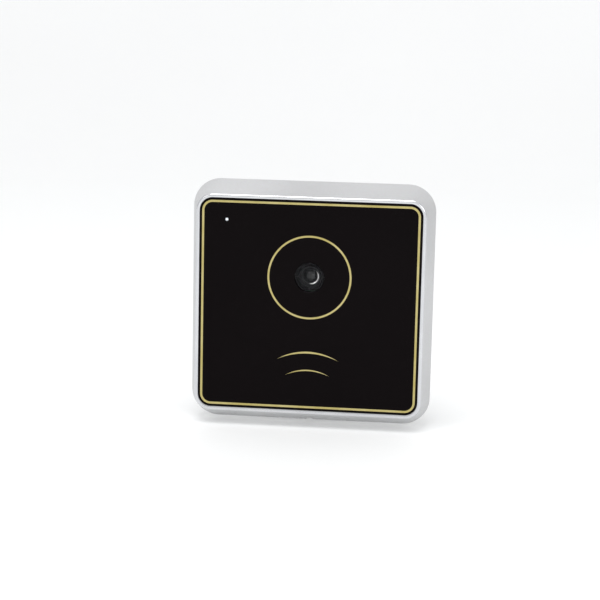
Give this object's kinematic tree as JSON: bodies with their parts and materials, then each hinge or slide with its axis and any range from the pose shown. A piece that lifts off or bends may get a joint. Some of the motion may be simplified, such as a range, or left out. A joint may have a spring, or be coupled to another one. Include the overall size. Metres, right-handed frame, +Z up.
{
  "type": "door intercom panel",
  "caption": "Square wall-mounted door intercom panel: silver flared frame, black gloss face with gold lines, camera window in a ring, and a card mark.",
  "frame": {"origin": "centre of the two wall screw slots, in the plane of the wall", "axes": "+Z up, +Y into the wall, so that the face looks along -Y; +X to the right of a visitor who faces it"},
  "size_m": [0.086, 0.0336, 0.086],
  "materials": {
    "frame_silver": "satin",
    "panel_black": "gloss",
    "foil_gold": "polished",
    "window_clear": "polished",
    "lens_glass": "polished",
    "light_pipe_clear": "polished",
    "tape_grey": "matte",
    "board_green": "satin",
    "copper": "satin",
    "ferrite_grey": "matte",
    "chip_black": "matte",
    "led_white": "gloss",
    "connector_cream": "matte",
    "ribbon_white": "satin",
    "lens_black": "satin",
    "holder_black": "matte",
    "filter_glass": "polished",
    "screw_steel": "satin",
    "bracket_steel": "galvanised",
    "brass": "satin",
    "can_nickel": "satin",
    "basket_black": "matte",
    "cone_film": "satin",
    "rubber_black": "matte",
    "mesh_black": "woven",
    "foam_grey": "foamed",
    "housing_black": "moulded",
    "terminal_green": "moulded",
    "lever_orange": "moulded",
    "button_white": "moulded"
  },
  "bodies": {
    "bracket": {"wall_bracket": "bracket_steel"},
    "unit": {"front_frame": "frame_silver", "front_panel": "panel_black", "panel_adhesive": "tape_grey", "gold_border": "foil_gold", "gold_ring": "foil_gold", "gold_arcs": "foil_gold", "camera_window": "window_clear", "light_pipe": "light_pipe_clear", "sensor_adhesive": "tape_grey", "sensor_board": "board_green", "antenna_coil": "copper", "ferrite_sheet": "ferrite_grey", "touch_chip": "chip_black", "status_led": "led_white", "panel_ribbon": "ribbon_white", "ribbon_connectors": "connector_cream", "lens_front_glass": "lens_glass", "lens_barrel": "lens_black", "lens_rear_glass": "lens_glass", "lens_lock_ring": "lens_black", "lens_holder": "holder_black", "infrared_filter": "filter_glass", "image_sensor": "chip_black", "camera_board": "board_green", "camera_screws": "screw_steel", "camera_standoffs": "brass", "camera_header": "chip_black", "speaker_basket": "basket_black", "speaker_diaphragm": "cone_film", "speaker_magnet": "can_nickel", "speaker_gasket": "foam_grey", "speaker_mesh": "mesh_black", "microphone": "can_nickel", "microphone_boot": "rubber_black", "main_board": "board_green", "board_screws": "screw_steel", "processor_chip": "chip_black", "shield_can": "can_nickel", "power_coil": "chip_black", "capacitors": "can_nickel", "terminal_block": "terminal_green", "terminal_contacts": "brass", "program_switch": "chip_black", "tamper_switch": "holder_black", "tamper_spring": "screw_steel", "rear_housing": "housing_black", "housing_seal": "rubber_black", "case_screws": "screw_steel", "wall_gasket": "foam_grey"},
    "lock_screw": {"lock_screw": "screw_steel"},
    "program_button": {"program_button": "button_white"},
    "tamper_plunger": {"tamper_plunger": "button_white"},
    "terminal_lever_1": {"terminal_lever_1": "lever_orange"},
    "terminal_lever_2": {"terminal_lever_2": "lever_orange"},
    "terminal_lever_3": {"terminal_lever_3": "lever_orange"},
    "terminal_lever_4": {"terminal_lever_4": "lever_orange"}
  },
  "joints": [
    {"name": "unit_lift", "type": "slide", "parent": "bracket", "child": "unit", "axis": [0, 0, 1], "range_m": [0, 0.0027]},
    {"name": "lock_screw_back_out", "type": "slide", "parent": "unit", "child": "lock_screw", "axis": [0, 0, -1], "range_m": [0, 0.0027]},
    {"name": "tamper_plunger_press", "type": "slide", "parent": "unit", "child": "tamper_plunger", "axis": [0, -1, 0], "range_m": [0, 0.001], "stiffness_N_per_m": 200, "springref_m": -0.001, "deforming": ["tamper_spring"]},
    {"name": "program_button_press", "type": "slide", "parent": "unit", "child": "program_button", "axis": [0, -1, 0], "range_m": [0, 0.0004], "stiffness_N_per_m": 300, "springref_m": -0.001},
    {"name": "terminal_lever_1_press", "type": "slide", "parent": "unit", "child": "terminal_lever_1", "axis": [0, -1, 0], "range_m": [0, 0.0009], "stiffness_N_per_m": 400, "springref_m": -0.001},
    {"name": "terminal_lever_2_press", "type": "slide", "parent": "unit", "child": "terminal_lever_2", "axis": [0, -1, 0], "range_m": [0, 0.0009], "stiffness_N_per_m": 400, "springref_m": -0.001},
    {"name": "terminal_lever_3_press", "type": "slide", "parent": "unit", "child": "terminal_lever_3", "axis": [0, -1, 0], "range_m": [0, 0.0009], "stiffness_N_per_m": 400, "springref_m": -0.001},
    {"name": "terminal_lever_4_press", "type": "slide", "parent": "unit", "child": "terminal_lever_4", "axis": [0, -1, 0], "range_m": [0, 0.0009], "stiffness_N_per_m": 400, "springref_m": -0.001}
  ],
  "couplings": [
    {"joint": "lock_screw_back_out", "follows": "unit_lift", "ratio": 1}
  ]
}
